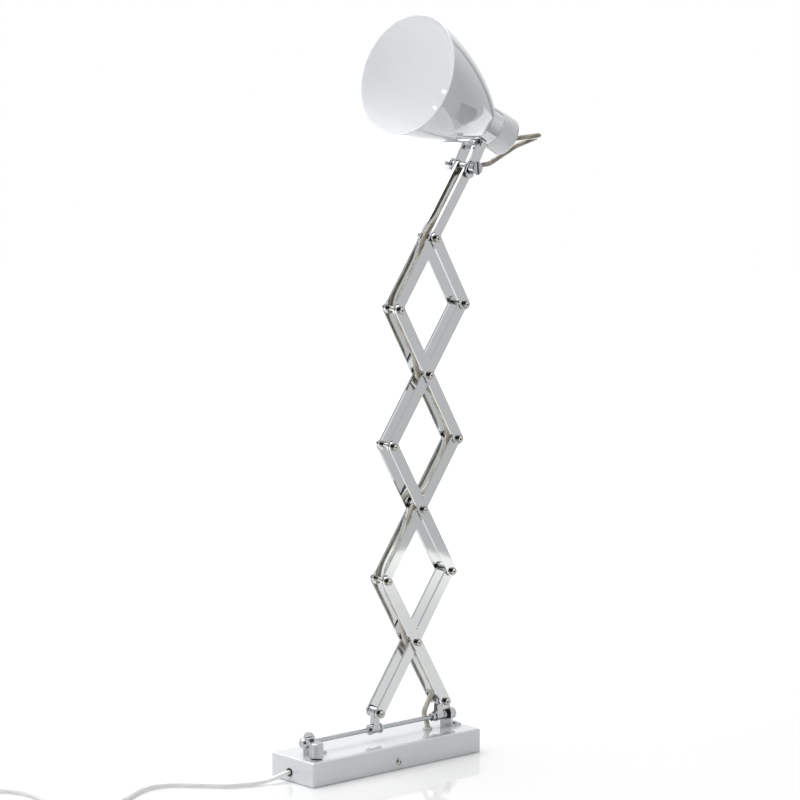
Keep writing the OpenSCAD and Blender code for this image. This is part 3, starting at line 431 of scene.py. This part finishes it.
CAMERA_AT = Vector((-2203.78, -2522.45, 861.78)) * MM
YAW, PITCH, ROLL = radians(41.5405), radians(7.8549), radians(0.1648)
FOCAL_PIXELS, IMAGE_PIXELS, SENSOR = 3150.32, 800, 36.0
across = Vector((cos(YAW), -sin(YAW), 0))
ahead = Vector((sin(YAW) * cos(PITCH), cos(YAW) * cos(PITCH), -sin(PITCH)))
upward = across.cross(ahead)
across, upward = cos(ROLL) * across + sin(ROLL) * upward, cos(ROLL) * upward - sin(ROLL) * across
lens = bpy.data.cameras.new("camera")
lens.sensor_width = SENSOR
lens.lens = FOCAL_PIXELS * SENSOR / IMAGE_PIXELS
lens.clip_start, lens.clip_end = 0.1, 60
camera = bpy.data.objects.new("camera", lens)
scene.collection.objects.link(camera)
camera.matrix_world = Matrix((
    (across.x, upward.x, -ahead.x, CAMERA_AT.x),
    (across.y, upward.y, -ahead.y, CAMERA_AT.y),
    (across.z, upward.z, -ahead.z, CAMERA_AT.z),
    (0, 0, 0, 1)))
scene.camera = camera


# mains cord: out of the box, along the floor, into a put-away coil

COIL_AT, COIL_START, COIL_LOOPS, LOOP_STEPS = (-408.0, 215.0), 252.0, 7, 48
COIL_PITCH = COIL_RISE = CORD_D + 0.55
COIL_INNER = 5.9 * CORD_D - COIL_PITCH * COIL_LOOPS / 4
COIL_Z = CORD_D / 2 + 0.8
FLOOR_Z = CORD_D / 2


def coil_point(t):
    """A point t loops along the coil, which winds inwards on the ground and outwards on top of that."""
    radius = COIL_INNER + COIL_PITCH * abs(t - COIL_LOOPS / 2)
    climb = min(1, max(0, 2 * (t - COIL_LOOPS / 2) + 0.5))
    a = radians(COIL_START - 360 * t)
    return Vector((COIL_AT[0] + radius * cos(a), COIL_AT[1] + radius * sin(a), COIL_Z + COIL_RISE * climb))


coil_along = Vector((sin(radians(COIL_START)), -cos(radians(COIL_START)), 0))
coil_in, coil_out = coil_point(0), coil_point(COIL_LOOPS)
cord_points = [
    (-117, 4, 9.5), (-124, 4, 9.45), (-132, 4.7, 8.1), (-140.5, 6.9, 5.4), (-149.5, 10, 3.3), (-159.5, 13.2, 2.6),
    (-173, 17.6, FLOOR_Z), (-189, 26.5, FLOOR_Z), (-208, 46, FLOOR_Z), (-232.5, 68.5, FLOOR_Z),
    (-256, 73.5, FLOOR_Z), (-283.4, 63, FLOOR_Z), (-306.7, 50, FLOOR_Z), (-330, 43, FLOOR_Z), (-352, 51, FLOOR_Z),
    (-365, 72, FLOOR_Z), (-368, 103, FLOOR_Z), (-366.5, 133, FLOOR_Z), (-372.5, 156, FLOOR_Z), (-387, 169, 2.7),
    coil_in - 3 * CORD_D * coil_along - Vector((0, 0, 0.25)), coil_in - CORD_D * coil_along]
cord_end = coil_out + 4.4 * CORD_D * coil_along
cord_route = smooth_through(cord_points)
cord_route += [coil_point(i / LOOP_STEPS) for i in range(LOOP_STEPS * COIL_LOOPS + 1)]
cord_route += [coil_out + f * CORD_D * coil_along for f in (1, 2.2, 3.3, 4.4)]
mains_lead = tube("mains_lead", cord_route, CORD_D / 2, "base", clear_cord, sides=14)
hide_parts("mains_cord", "cord_coil")


def plug_place(x, y, z):
    """A point of the plug, x along the cord from its end."""
    return cord_end + x * coil_along + y * Vector((-coil_along.y, coil_along.x, 0)) + z * Vector((0, 0, 1))


def lofted(name, sections, place, body, material, sides=40):
    """A moulded body over rounded sections: x, half width, half height, squareness."""
    points = []
    for x, half_w, half_h, power in sections:
        for k in range(sides):
            c, s = cos(2 * pi * k / sides), sin(2 * pi * k / sides)
            y = half_w * (1 if c >= 0 else -1) * abs(c) ** (2 / power)
            z = half_h * (1 if s >= 0 else -1) * abs(s) ** (2 / power)
            points.append(place(x, y, z))
    return mesh_piece(name, points, rings_to_faces(len(sections), sides), body, [material])


# half the plug's height: it lies just clear of the ground
half = coil_out.z - 0.2
# the sleeve on the cord has five ribs, each a little wider than the one before
RIBS, RIB_STEP, RIB_GROWTH = 5, 3.4, 0.28
sleeve = [(-7, 2.62, 2.62, 2), (-6.4, 3.0, 3.0, 2)]
for i in range(RIBS):
    x = -5.6 + RIB_STEP * i
    r = 3.1 + RIB_GROWTH * i
    sleeve += [(x + on, r + out, r + out, 2) for on, out in ((0, 0), (1.9, 0.15), (2.1, -0.5), (3.2, -0.4))]
moulded_plug = lofted("moulded_plug", sleeve + [
    (11.6, 4.6, 4.6, 2.2), (12.4, 6.5, 6.0, 2.6), (13.6, 9.3, 7.4, 3.2), (15.2, 11.3, 8.2, 4),
    (17.5, 12.5, half - 0.1, 5), (21, 12.9, half, 6), (34.5, 13.0, half, 6.5), (36.6, 12.8, half - 0.15, 6.5),
    (37.6, 12.2, half - 0.7, 6), (38.0, 11.4, half - 1.5, 5.5)], plug_place, "base", nylon_white)
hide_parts("plug_body")

# radius at which the tie bends round the coil
STRAP_BEND = 3.2


def strap_round(name, corners, across_dir, width, thickness, body, material):
    """A woven strap closed round a bundle, with its free end lapped over."""
    route = bent(corners, [STRAP_BEND] * (len(corners) - 2), step=10)
    middle = sum(route, Vector()) / len(route)
    points = []
    last = len(route) - 1
    for i, p in enumerate(route):
        t = (route[min(i + 1, last)] - route[max(i - 1, 0)]).normalized()
        out = t.cross(across_dir).normalized()
        out = out if out.dot(p - middle) > 0 else -out
        for w, d in ((-1, 0), (-0.94, 1), (0.94, 1), (1, 0)):
            points.append(p + across_dir * (w * width / 2) + out * (d * thickness))
    return mesh_piece(name, points, rings_to_faces(len(route), 4), body, [material])


tie_angle = radians(COIL_START + 90)
tie_out, tie_side = Vector((cos(tie_angle), sin(tie_angle), 0)), Vector((-sin(tie_angle), cos(tie_angle), 0))
coil_middle = Vector((COIL_AT[0], COIL_AT[1], 0))
near = COIL_INNER - CORD_D / 2 - 0.5
far = COIL_INNER + COIL_PITCH * COIL_LOOPS / 2 + CORD_D / 2 + 0.5
top = COIL_Z + COIL_RISE + CORD_D / 2 + 0.2
tie_corners = [coil_middle + tie_out * x + Vector((0, 0, z)) for x, z in (
    (near + 9, top), (far, top), (far, 0.7), (near, 0.7), (near, top), (near + 7, top + 0.75),
    (far - 4, top + 0.75))]
coil_tie = strap_round("coil_tie", tie_corners, tie_side, 8.0, 0.6, "base", band_weave)
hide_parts("cord_tie")


# the cable in the arm: it rides in the limbs and bends at the pivots

CABLE_R = CABLE_D / 2
# the sheath as the photograph shows it, a little fuller than the solid
SHEATH_R = CABLE_R + 0.4
# along a limb from its pivot: where the cable comes in, lies straight and leaves, and half of its step round a bolt
ENTRY_TURN, ENTRY_REACH, LOOP_REACH, DODGE_HALF = 16.0, 30.0, 22.0, 32.0
DODGE_STEPS, BEND_STEPS = 12, 8
# the cable's middle from a bolt's: past its spacer tube, with a gap
SPACER_R, SPACER_GAP = 3.25, 0.6
CABLE_PASS = SPACER_R + CABLE_R + SPACER_GAP
BEND_R = CABLE_PASS / (1 / sin(FOLD) - 1)
BEND_REACH = BEND_R / tan(FOLD)
GROMMET_X = 73.0
# height at which the cable passes from the base to the swivel barrel
SEAM_Z = 44

entry = bent([(GROMMET_X, 0, 20), (GROMMET_X, 0, 32), (GROMMET_X + 3.8, 12, 41),
              in_arm(RIGHT - ENTRY_TURN * cos(FOLD), 0.3, PIVOT_H + ENTRY_TURN * sin(FOLD)),
              in_arm(RIGHT - ENTRY_REACH * cos(FOLD), 0, PIVOT_H + ENTRY_REACH * sin(FOLD))], [10, 10, 12])
split_at = min(range(len(entry)), key=lambda i: abs(entry[i].z - SEAM_Z))


def limb_run(right, level, first, last):
    """The cable's line in a limb, stepping aside at the crossing bolt."""
    start = (RIGHT, PIVOT_H + level * STEP) if right else (LEFT, PIVOT_H + level * STEP)
    lean = pi - FOLD if right else FOLD
    steps = [(first, 0.0)]
    for i in range(-DODGE_STEPS, DODGE_STEPS + 1):
        u = DODGE_HALF * i / DODGE_STEPS
        steps.append((LIMB / 2 + u, CABLE_PASS * 0.5 * (1 + cos(pi * u / DODGE_HALF))))
    steps.append((last, 0.0))
    return [in_arm(start[0] + u * cos(lean) - w * sin(lean), 0, start[1] + u * sin(lean) + w * cos(lean))
            for u, w in steps]


def pivot_bend(right, level):
    """The cable's arc round the inside of an end pivot, from the lower limb to the upper."""
    side = -1 if right else 1
    x, h = (RIGHT if right else LEFT) + side * BEND_R / sin(FOLD), PIVOT_H + level * STEP
    half_turn = pi / 2 - FOLD
    arc = [half_turn * (i / BEND_STEPS - 1) for i in range(2 * BEND_STEPS + 1)]
    return [in_arm(x - side * BEND_R * cos(a), 0, h + BEND_R * sin(a)) for a in arc]


def lead_between(name, route, node):
    """A stretch of the cable between two bodies, drawn where it lies at rest and riding on neither."""
    piece = tube(name, route, SHEATH_R, None, clear_cable)
    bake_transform(piece)
    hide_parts(node)
    return piece


for name, body, route in [
        ("lead_in_a1", "a1", limb_run(True, 0, ENTRY_REACH, LIMB - BEND_REACH)),
        ("lead_in_b2", "b2", limb_run(False, 1, BEND_REACH, LIMB - BEND_REACH)),
        ("lead_in_a3", "a3", limb_run(True, 2, BEND_REACH, LIMB - BEND_REACH)),
        ("lead_in_b4", "b4", limb_run(False, 3, BEND_REACH, LIMB - LOOP_REACH))]:
    run_piece = tube(name, route, SHEATH_R, body, clear_cable)
    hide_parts(name.replace("lead_in", "cable_run"))
lead_between("lead_riser", entry[:split_at + 1], "cable_riser")
lead_between("lead_entry", entry[split_at:], "cable_entry")
lead_between("lead_bend_1", pivot_bend(False, 1), "cable_bend_1")
lead_between("lead_bend_2", pivot_bend(True, 2), "cable_bend_2")
lead_between("lead_bend_3", pivot_bend(False, 3), "cable_bend_3")

loop_route = bent([
    from_bolt(-LOOP_REACH * cos(FOLD), 0, -LOOP_REACH * sin(FOLD)), from_bolt(-5.9, 0, -9.3),
    from_bolt(30, 4.8, -0.1), from_bolt(40, 5.8, 0.1), from_bolt(84, 11.5, 17.2),
    from_bolt(110.2, 15.6, 23), from_bolt(108.2, -5.4, 30.9),
    on_shade(CAP_REAR - 4, 0, 0), on_shade(CAP_REAR + 4, 0, 0)], [12, 40, 24, 60, 10.2, 10.2, 10])
slack_loop = lead_between("lead_loop", loop_route, "cable_loop")


# shade: spun steel, lacquered outside and painted satin inside

# the bell is one arc from the neck to BELL_S, BELL_R, and the slanted opening crosses its axis at OPEN_S
NECK_S, NECK_R, OPEN_S, BELL_S, BELL_R, SHEET = 3.3, 22.25, 112.3, 145.9, 67.75, 1.0
NECK_HOLE_R = 16.0
MOUTH_SLANT, MOUTH_TURN = radians(13.4), radians(47.3)
BELL_LEAN = atan2(BELL_R - NECK_R, BELL_S - NECK_S)
BELL_ARC = hypot(BELL_R - NECK_R, BELL_S - NECK_S) / (2 * sin(BELL_LEAN))
EDGE_R, BELL_ROWS, BELL_SIDES = SHEET / 2, 40, 192


def bell_at(s):
    """Radius of the bell's outside, and its lean, s along the axis."""
    lean = asin(sin(2 * BELL_LEAN) - (s - NECK_S) / BELL_ARC)
    return NECK_R + BELL_ARC * (cos(lean) - cos(2 * BELL_LEAN)), lean


def lip_at(a):
    """Where the slanted opening cuts the bell, at angle a round the axis."""
    s = OPEN_S
    for _ in range(25):
        s = OPEN_S + tan(MOUTH_SLANT) * bell_at(s)[0] * sin(a + MOUTH_TURN)
    return s


def shade_section(a):
    """(s, r) points of the sheet at angle a: outside to the opening, round its edge, and back along the inside."""
    reach = lip_at(a) - EDGE_R - NECK_S
    skin = []
    for row in range(1, BELL_ROWS + 1):
        s = NECK_S + reach * row / BELL_ROWS
        skin.append((s, *bell_at(s)))
    s, r, lean = skin[-1]
    edge = []
    for turn in range(20, 180, 20):
        out, on = EDGE_R * cos(radians(turn)) - EDGE_R, EDGE_R * sin(radians(turn))
        edge.append((s - out * sin(lean) + on * cos(lean), r + out * cos(lean) + on * sin(lean)))
    neck = [(NECK_S, NECK_HOLE_R), (NECK_S, NECK_R - 1.3), (NECK_S + 0.15, NECK_R - 0.6),
            (NECK_S + 0.5, NECK_R - 0.1)]
    inside = [(s + SHEET * sin(lean), r - SHEET * cos(lean)) for s, r, lean in reversed(skin)]
    return neck + [(s, r) for s, r, lean in skin] + edge + inside + [(NECK_S + SHEET, NECK_HOLE_R)]


round_angles = [2 * pi * k / BELL_SIDES for k in range(BELL_SIDES)]
sections = [shade_section(a) for a in round_angles]
section_size = len(sections[0])
shade_points = [on_shade(sections[k][i][0], sections[k][i][1] * cos(a), sections[k][i][1] * sin(a))
                for i in range(section_size) for k, a in enumerate(round_angles)]
# the satin paint begins half-way round the opening's edge: past the neck's points, the outside and half the edge's
painted_from = 4 + BELL_ROWS + 4
spun_shade = mesh_piece("spun_shade", shade_points, rings_to_faces(section_size, BELL_SIDES, loop=True), "head",
                        [lacquer, reflector],
                        [int(i >= painted_from) for i in range(section_size) for k in range(BELL_SIDES)])
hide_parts("shade")
# two vent holes in the dome, on the far side, which show as bright dots through the opening
VENT_S, VENT_R, VENT_ANGLES = 36.8, 2.6, (-3, 25)
PUNCH_SIDES, PUNCH_REACH = 40, 6
vent_r, vent_lean = bell_at(VENT_S)
for vent_angle in VENT_ANGLES:
    a = radians(vent_angle)
    middle = on_shade(VENT_S, vent_r * cos(a), vent_r * sin(a))
    raised = vent_r + cos(vent_lean)
    outer = on_shade(VENT_S - sin(vent_lean), raised * cos(a), raised * sin(a))
    along = (outer - middle).normalized()
    side = along.orthogonal().normalized()
    other = along.cross(side)
    turns = [2 * pi * k / PUNCH_SIDES for k in range(PUNCH_SIDES)]
    points = [middle + h * along + VENT_R * (cos(t) * side + sin(t) * other)
              for h in (-PUNCH_REACH, PUNCH_REACH) for t in turns]
    punch = mesh_piece("vent_punch", points, rings_to_faces(2, PUNCH_SIDES), "head", [lacquer], smooth=False)
    cut = spun_shade.modifiers.new("vent_hole", "BOOLEAN")
    cut.operation, cut.object, cut.solver = "DIFFERENCE", punch, "EXACT"
    bpy.context.view_layer.update()
    pierced = bpy.data.meshes.new_from_object(spun_shade.evaluated_get(bpy.context.evaluated_depsgraph_get()))
    spun_shade.modifiers.clear()
    spun_shade.data = pierced
    bpy.data.objects.remove(punch)

# brass screw shell and centre contact in the lampholder
SHELL_S, SHELL_LENGTH, SHELL_R, SHELL_ROWS, SHELL_SIDES = 9.0, 24.0, 6.62, 96, 48
THREAD_PITCH, THREAD_HALF = 2.82, 0.32
shell_points = []
for i in range(SHELL_ROWS):
    s = SHELL_S + SHELL_LENGTH * i / (SHELL_ROWS - 1)
    for k in range(SHELL_SIDES):
        a = 2 * pi * k / SHELL_SIDES
        r = SHELL_R + THREAD_HALF * cos(2 * pi * (s / THREAD_PITCH) - a)
        shell_points.append(on_shade(s, r * cos(a), r * sin(a)))
screw_shell = mesh_piece("screw_shell", shell_points, rings_to_faces(SHELL_ROWS, SHELL_SIDES, closed_ends=False),
                         "head", [brass])
screw_shell.modifiers.new("sheet", "SOLIDIFY").thickness = 0.0003
spun("centre_contact", [(8.1, 0.2), (8.1, 3.4), (8.5, 3.6), (8.9, 3.4), (9.6, 1.8), (10.0, 0.2)], "head", brass,
     sides=40)
# soft bush where the cable enters the rear cap
spun("cap_bush", [(CAP_REAR - 0.02, SHEATH_R), (CAP_REAR - 0.9, SHEATH_R), (CAP_REAR - 1.3, SHEATH_R + 0.35),
                  (CAP_REAR - 1.2, 4.1), (CAP_REAR - 0.6, 4.5), (CAP_REAR - 0.02, 4.6)],
     "head", nylon_white, sides=48)


# studio: a gloss white floor, a dark mat in front of it, white all round for the eye, a room that only shiny pieces
# mirror, and three lamps: overhead, to the left, and one behind a grid

# Gloss white acrylic sheet: mirrors the foot of the lamp, and its glow for the eye keeps it near the backdrop's
# white.
acrylic_floor, tree, shader, at = surface("white_acrylic_sheet", Roughness=0.04, IOR=1.45)
shader.inputs["Base Color"].default_value = linear("#F2F2F2")
shader.inputs["Emission Color"].default_value = linear("#FFFFFF")
rays = add(tree, "LightPath")
seen = add(tree, "Math", {0: rays.outputs["Is Camera Ray"], 1: rays.outputs["Is Glossy Ray"]}, operation="MAXIMUM")
# the sheet runs out into the lit backdrop, well clear of the lamp and its shadow
away = add(tree, "VectorMath", {0: at.outputs["Object"]}, operation="LENGTH")
fade = add(tree, "MapRange", {"Value": away.outputs["Value"], "From Min": 0.5, "From Max": 1.1, "To Min": 0.085,
                              "To Max": 0.9}, interpolation_type="SMOOTHSTEP")
lift = add(tree, "Math", {0: seen.outputs["Value"], 1: fade.outputs["Result"]}, operation="MULTIPLY")
tree.links.new(lift.outputs["Value"], shader.inputs["Emission Strength"])
# the sheet ends in front of the lamp and to its right, out of the picture, where the dim room begins
FLOOR_DROP = -0.0008
FLOOR_CORNERS = [(-4, -0.63), (0.62, -0.63), (0.6, -0.02), (0.72, -0.13), (0.98, -0.25), (1.45, -0.335),
                 (4.4, -0.52), (4.4, 5), (-4, 5)]
# Dark rubber mat on the ground of the room: dull, seen only in the shade and the metal, which mirror it.
rubber_mat, tree, shader, at = surface("dark_rubber_mat", Roughness=0.9)
shader.inputs["Base Color"].default_value = linear("#3A3C3E")
MAT_CORNERS = [(0.69, -0.43), (1.436, -0.975), (2.137, -0.647), (1.392, -0.4), (0.72, -0.2)]
for name, corners, material in (("floor", FLOOR_CORNERS, acrylic_floor), ("room_mat", MAT_CORNERS, rubber_mat)):
    flat = bpy.data.meshes.new(name)
    flat.from_pydata([(x, y, FLOOR_DROP) for x, y in corners], [], [tuple(range(len(corners)))])
    flat.materials.append(material)
    sheet = bpy.data.objects.new(name, flat)
    scene.collection.objects.link(sheet)
    sheet.visible_camera = material is acrylic_floor

world = bpy.data.worlds.new("studio")
scene.world = world
world.use_nodes = True
tree = world.node_tree
tree.nodes.clear()
rays = add(tree, "LightPath")
way = add(tree, "TexCoord")
# what bright metal sees round the lamp: (degrees from +X towards +Y, grey), from the left wall through the dim room
# in front and the lit backdrop, back to the grey left wall and its black screen
AROUND = [(-180, "#E4E4E4"), (-163, "#E4E4E4"), (-150, "#8C8C8C"), (-112, "#A0A2A4"), (-92, "#DCDEE0"),
          (-66, "#FAFBFC"), (-40, "#FAFBFC"), (-30, "#E6E8EA"), (-14, "#FFFFFF"), (7.5, "#FFFFFF"),
          (9, "#9A9C9E"), (13, "#A8AAAC"), (22, "#F4F4F4"), (40, "#FFFFFF"), (99, "#FFFFFF"), (103, "#808284"),
          (109, "#808284"), (112, "#D4D6D8"), (142, "#CACCCE"), (146, "#404142"), (156, "#404142"),
          (160, "#E4E4E4"), (180, "#E4E4E4")]
parts = add(tree, "SeparateXYZ", {"Vector": way.outputs["Generated"]})
azimuth = add(tree, "Math", {0: parts.outputs["Y"], 1: parts.outputs["X"]}, operation="ARCTAN2")
turned = add(tree, "MapRange", {"Value": azimuth.outputs["Value"], "From Min": -pi, "From Max": pi})
walls = add(tree, "ValToRGB", {"Fac": turned.outputs["Result"]}, (AROUND[0][1], AROUND[-1][1]))
for at_degrees, grey in AROUND[1:-1]:
    walls.color_ramp.elements.new((at_degrees + 180) / 360).color = linear(grey)
# the walls darken downwards
level = add(tree, "MapRange", {"Value": parts.outputs["Z"], "From Min": -0.8, "From Max": 0.36, "To Min": 0.5})
dimmed = add(tree, "Mix", {0: 1.0, 6: walls.outputs["Color"], 7: level.outputs["Result"]}, data_type="RGBA",
             blend_type="MULTIPLY")


def dark_thing(behind, direction, inner, outer, grey):
    """Something dark in the room: a soft-edged spot round a direction, its edge between two angles in degrees."""
    near_it = add(tree, "VectorMath", {0: way.outputs["Generated"], 1: Vector(direction).normalized()},
                  operation="DOT_PRODUCT")
    spot = add(tree, "MapRange", {"Value": near_it.outputs["Value"], "From Min": cos(radians(outer)),
                                  "From Max": cos(radians(inner))}, interpolation_type="SMOOTHSTEP")
    return add(tree, "Mix", {0: spot.outputs["Result"], 6: behind.outputs[2], 7: linear(grey)}, data_type="RGBA")


shown = dark_thing(dimmed, (-0.65, -0.75, 0.12), 23, 33, "#303030")
# a weak even fill lights the pieces, the room is what they mirror, and the eye sees plain white
fill = add(tree, "Background", {"Color": linear("#FFFFFF"), "Strength": 0.33})
mirrored = add(tree, "Background", {"Color": shown.outputs[2], "Strength": 1.0})
white = add(tree, "Background", {"Color": linear("#FFFFFF"), "Strength": 1.0})
shiny = add(tree, "Math", {0: rays.outputs["Is Glossy Ray"], 1: rays.outputs["Is Transmission Ray"]},
            operation="MAXIMUM")
lit = add(tree, "MixShader", {0: shiny.outputs["Value"], 1: fill.outputs["Background"],
                              2: mirrored.outputs["Background"]})
all_rays = add(tree, "MixShader", {0: rays.outputs["Is Camera Ray"], 1: lit.outputs["Shader"],
                                   2: white.outputs["Background"]})
add(tree, "OutputWorld", {"Surface": all_rays.outputs["Shader"]})


def soft_lamp(name, at, towards, width, height, radiance):
    """A rectangular soft lamp; radiance is how bright its face is."""
    light = bpy.data.lights.new(name, "AREA")
    light.shape = "RECTANGLE"
    light.size, light.size_y = width, height
    light.energy = radiance * pi * width * height
    lamp = bpy.data.objects.new(name, light)
    scene.collection.objects.link(lamp)
    lamp.location = at
    lamp.rotation_euler = (Vector(towards) - Vector(at)).to_track_quat("-Z", "Y").to_euler()
    lamp.visible_camera = False
    return lamp


soft_lamp("lamp_above", (-0.4, 1.0, 3.0), (-0.2, 0.6, 0.0), 4.4, 3.6, 2.4)
soft_lamp("lamp_left", (-2.4, 0.5, 1.2), (0.0, 0.0, 0.35), 1.6, 1.6, 0.9)
# a lamp behind a grid, aimed into the shade: narrow, and out of the metal's sight
lamp_grid = soft_lamp("lamp_grid", (-1.6, -1.2, 1.05), (0.05, -0.03, 0.73), 0.8, 0.8, 0.12)
lamp_grid.data.spread = radians(24)
lamp_grid.visible_glossy = False
